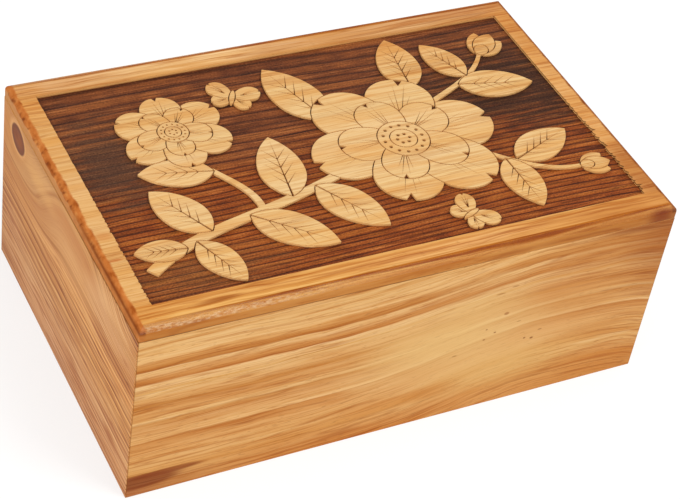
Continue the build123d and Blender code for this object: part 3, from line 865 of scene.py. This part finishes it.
# Charred pine: near black in the soft wood, red-brown on the hard rings, dull under the varnish
burnt_pine, tree, shader = new_finish("laser_burnt_pine")
millimetres = in_millimetres(tree)
ring = node(tree, "Attribute", attribute_name="ring", output="Fac")
front_char = node(tree, "ValToRGB", {0: ring},
                  stops=[(0.0, "#3E1C0A"), (0.22, "#60290E"), (0.55, "#A24D18"), (1.0, "#C26E2A")])
back_char = node(tree, "ValToRGB", {0: ring},
                 stops=[(0.0, "#4E2A18"), (0.35, "#70391E"), (0.75, "#965228"), (1.0, "#AA6230")])
cloud = node(tree, "TexNoise", {"Vector": millimetres}, per_mm=(0.012, 0.03, 0.0))
drift = node(tree, "MapRange", {0: cloud, 3: -34.0, 4: 34.0})
board_y = node(tree, "SeparateXYZ", {0: millimetres}, output="Y")
turn = node(tree, "Math", {0: board_y, 1: drift}, operation="ADD")
turn = node(tree, "MapRange", {0: turn, 1: -14.0, 2: 20.0}, interpolation_type="SMOOTHSTEP")
char = node(tree, "Mix", {0: turn, 6: front_char, 7: back_char})

# Where the beam dwelt, towards the far right corner and along the left end, the ground is darker
# and its stripes are faint. At the front left it is a little browner
smoke = node(tree, "TexNoise", {"Vector": millimetres, "Detail": 4.0, "Roughness": 0.7},
             per_mm=(0.03, 0.3, 0.0))
smoke = node(tree, "MapRange", {0: smoke, 1: 0.3, 2: 0.7, 3: -0.5, 4: 0.5})
dwelt = 0.0
for *oval, dark_colour, strength in (
    (112.0, 22.0, 92.0, 54.0, "#371E11", 0.9),
    (-116.0, 18.0, 32.0, 52.0, "#543828", 0.8),
    (-104.0, -66.0, 56.0, 24.0, "#6E5030", 0.4),
):
    away = node(tree, "Math", {0: from_middle(tree, millimetres, *oval), 1: smoke}, operation="ADD")
    darker = node(tree, "MapRange", {0: away, 1: 1.0, 2: 0.2, 4: strength},
                  interpolation_type="SMOOTHSTEP")
    char = node(tree, "Mix", {0: darker, 6: char, 7: dark_colour})
    dwelt = node(tree, "Math", {0: dwelt, 1: darker}, operation="MAXIMUM")
striped = node(tree, "MapRange", {0: dwelt, 3: 0.8, 4: 0.3})

# Streaks along the rings, with a painted highlight for glints on the crests, then grit, and soot beside the
# carving's walls, with painted shade there too
streak = node(tree, "TexNoise", {"Vector": millimetres, "Detail": 3.0, "Roughness": 0.65},
              per_mm=(0.035, 1.15, 0.0))
tone = node(tree, "ValToRGB", {0: streak},
            stops=[(0.34, "#6E6A66"), (0.48, "#D8D4D0"), (0.64, "#FFFFFF")])
painted_crest_glint = faded(tree, ring, (streak, 0.56, 0.68, 0.0, 0.45))
painted_crest_glint = node(tree, "Math", {0: painted_crest_glint, 1: striped}, operation="MULTIPLY")
grit = node(tree, "TexNoise", {"Vector": millimetres, "Detail": 3.0, "Roughness": 0.7},
            per_mm=(0.9, 1.9, 0.6))
speck = node(tree, "ValToRGB", {0: grit}, stops=[(0.32, "#8E8680"), (0.5, "#E8E4E0"), (0.62, "#FFFFFF")])
pale_grit = node(tree, "MapRange", {0: grit, 1: 0.6, 2: 0.72, 4: 0.4})
scorch = node(tree, "Attribute", attribute_name="scorch", output="Fac")
soot_and_shade = faded(tree, scorch, (ring, 0.0, 1.0, 0.8, 0.3))
for share, shade, blend in (
    (striped, tone, "MULTIPLY"),
    (painted_crest_glint, "#D09058", "MIX"),
    (0.9, speck, "MULTIPLY"),
    (pale_grit, "#A87A4C", "MIX"),
    (soot_and_shade, "#2C1810", "MIX"),
):
    char = node(tree, "Mix", {0: share, 6: char, 7: shade}, blend_type=blend)
tree.links.new(char, shader.inputs["Base Color"])
shader.inputs["Roughness"].default_value = 0.62
shader.inputs["Specular IOR Level"].default_value = 0.12
bump = node(tree, "Bump", {"Strength": 0.6, "Distance": 0.00012, "Height": streak}, output="Normal")
tree.links.new(bump, shader.inputs["Normal"])
for material in (top_pine, burnt_pine, edge_pine, end_pine):
    board_mesh.materials.append(material)

# Base panel
# A thin pine board that closes the box from below. It was wiped with the same stain, has a
# bevelled lower edge so that it lifts out easily, and is countersunk for the four screws.
base_pine = pine_board(
    "base_pine",
    axes="XYZ",
    profile=[
        (-94.5, "#D39A58"), (-71, "#DDA866"), (-70, "#C48444"), (-56, "#D9A161"), (-44, "#E0AE6E"),
        (-43, "#C58548"), (-30, "#D59A5A"), (-19, "#DFAC6C"), (-18, "#C98A4A"), (-4, "#D8A060"),
        (9, "#E1B070"), (10, "#C88848"), (24, "#DAA262"), (41, "#E0AE6E"), (42, "#C68646"),
        (58, "#D79C5C"), (73, "#DEAA6A"), (74, "#C58444"), (94.5, "#D59A58"),
    ],
    rise={"shape": [(0.0, 0.0), (0.3, 0.3), (0.6, 1.0), (1.0, 0.5)], "foot": 12.0, "top": 6.0},
    marks=[(-62, 30, 7, 5, 0.3, "#96572E", 0.85)],
    calm=(-20, 0, 60, 40, 0.5),
    fine={"spacing": 3.6, "from": -60, "full": 90, "least": 0.15, "most": 0.4, "figure": 0.45, "fibre": 0.8},
    seed=53.0,
)
dress("base_panel", base_pine)

# Screws
# Four brass wood screws with countersunk heads and a cross recess, their threads rolled. Brass
# gives a warm bright reflection, a little brushed across the head.
brass, tree, shader = new_finish("turned_brass")
millimetres = in_millimetres(tree)
handled = node(tree, "TexNoise", {"Vector": millimetres, "Detail": 3.0}, per_mm=(0.9, 0.9, 0.9))
tone = node(tree, "ValToRGB", {0: handled}, stops=[(0.35, "#B98C44"), (0.6, "#D9B062")])
tree.links.new(tone, shader.inputs["Base Color"])
shader.inputs["Metallic"].default_value = 1.0
scratch = node(tree, "TexNoise", {"Vector": millimetres}, per_mm=(0.8, 14.0, 9.0))
brushed = node(tree, "MapRange", {0: scratch, 3: 0.2, 4: 0.38})
tree.links.new(brushed, shader.inputs["Roughness"])
bump = node(tree, "Bump", {"Strength": 0.2, "Distance": 0.00002, "Height": scratch}, output="Normal")
tree.links.new(bump, shader.inputs["Normal"])
dress("base_screw", brass)

# Studio
# The urn stands on a white sweep, under a soft lamp high at the front right and a wider one low
# at the left, with plain white light all round. The camera looks down on the front left corner.
floor_mesh = bpy.data.meshes.new("floor")
floor_reach = 3.0

# The sweep is open under the urn, inside its rim, and clear from below, so that the base shows
# when it comes off
overlap = arris + 0.05
opening_x, opening_y = (half_length - overlap) / 1000, (half_width - overlap) / 1000
floor_mesh.from_pydata(
    [(side_x * reach_x, side_y * reach_y, 0.0)
     for reach_x, reach_y in ((floor_reach, floor_reach), (opening_x, opening_y))
     for side_x, side_y in ((-1, -1), (1, -1), (1, 1), (-1, 1))],
    [],
    [(start, (start + 1) % 4, 4 + (start + 1) % 4, 4 + start) for start in range(4)],
)
floor = bpy.data.objects.new("floor", floor_mesh)
bpy.context.scene.collection.objects.link(floor)


def looked_at(tree):
    """1 for what the camera sees directly, in a reflection or through glass, and otherwise 0."""
    rays = node(tree, "LightPath").node.outputs
    seen = rays["Is Camera Ray"]
    for ray in ("Is Glossy Ray", "Is Transmission Ray"):
        seen = node(tree, "Math", {0: seen, 1: rays[ray]}, operation="MAXIMUM")
    return seen


# White paper. Where it is looked at it glows a little, so that it shows white round the shadow
paper, tree, sheet = new_finish("white_paper")
seen = looked_at(tree)
shade = node(tree, "Mix", {0: seen, 6: "#D2D2D2", 7: "#A2A2A2"})
tree.links.new(shade, sheet.inputs["Base Color"])
glow = node(tree, "Math", {0: seen, 1: 0.66}, operation="MULTIPLY")
tree.links.new(glow, sheet.inputs["Emission Strength"])
sheet.inputs["Emission Color"].default_value = (1.0, 1.0, 1.0, 1.0)
sheet.inputs["Roughness"].default_value = 0.9
sheet.inputs["Specular IOR Level"].default_value = 0.1
from_below = node(tree, "NewGeometry", output="Backfacing")
clear = node(tree, "BsdfTransparent")
surface = node(tree, "MixShader", {0: from_below, 1: sheet.outputs["BSDF"], 2: clear})
tree.links.new(surface, tree.nodes["Material Output"].inputs["Surface"])
floor_mesh.materials.append(paper)
floor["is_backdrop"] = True

world = bpy.data.worlds.new("white_room")
world.use_nodes = True
bpy.context.scene.world = world
tree = world.node_tree
sky = tree.nodes["Background"]
sky.inputs["Color"].default_value = (1.0, 1.0, 1.0, 1.0)
sky_level = node(tree, "MapRange", {0: looked_at(tree), 3: 0.78, 4: 1.0})
tree.links.new(sky_level, sky.inputs["Strength"])

urn_middle = Vector((0.0, 0.0, 0.06))


def softbox(name, place, size, power):
    """A square softbox at a place, turned towards the middle of the urn."""
    lamp = bpy.data.lights.new(name, "AREA")
    lamp.shape = "SQUARE"
    lamp.size = size
    lamp.energy = power
    holder = bpy.data.objects.new(name, lamp)
    holder.location = place
    holder.rotation_euler = (urn_middle - Vector(place)).to_track_quat("-Z", "Y").to_euler()
    bpy.context.scene.collection.objects.link(holder)


softbox("key_softbox", (0.46, -0.7, 1.36), 0.6, 9.2)
softbox("fill_softbox", (-1.3, -0.5, 0.5), 0.8, 7.0)

# The camera fits the photograph: its long lens sees the front and left faces and the top. Its
# aim and distance are shares of the urn's length, and its focal length was found in pixels
urn_length, urn_height = 2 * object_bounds()[1][0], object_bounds()[1][2]
aim = Vector((-0.00204 * urn_length, -0.05821 * urn_length, urn_height / 2))
distance = 3.49849 * urn_length
focal_pixels, photo_pixels = 1963.13, 680
azimuth, elevation, roll = (math.radians(angle) for angle in (-32.10, 41.18, 9.83))
level_back = Vector((math.sin(azimuth), -math.cos(azimuth), 0.0)) * math.cos(elevation)
back = level_back + Vector((0.0, 0.0, math.sin(elevation)))
right = Vector((0, 0, 1)).cross(back).normalized()
up = back.cross(right)
tilted_right = right * math.cos(roll) + up * math.sin(roll)
tilted_up = up * math.cos(roll) - right * math.sin(roll)
lens = bpy.data.cameras.new("camera")
lens.sensor_width = 36.0
lens.lens = focal_pixels / photo_pixels * lens.sensor_width
lens.clip_start = 0.05
camera = bpy.data.objects.new("camera", lens)
turned = Matrix((tilted_right, tilted_up, back)).transposed().to_4x4()
camera.matrix_world = Matrix.Translation(aim + back * distance) @ turned
bpy.context.scene.collection.objects.link(camera)
bpy.context.scene.camera = camera
bpy.context.scene.view_settings.view_transform = "Standard"
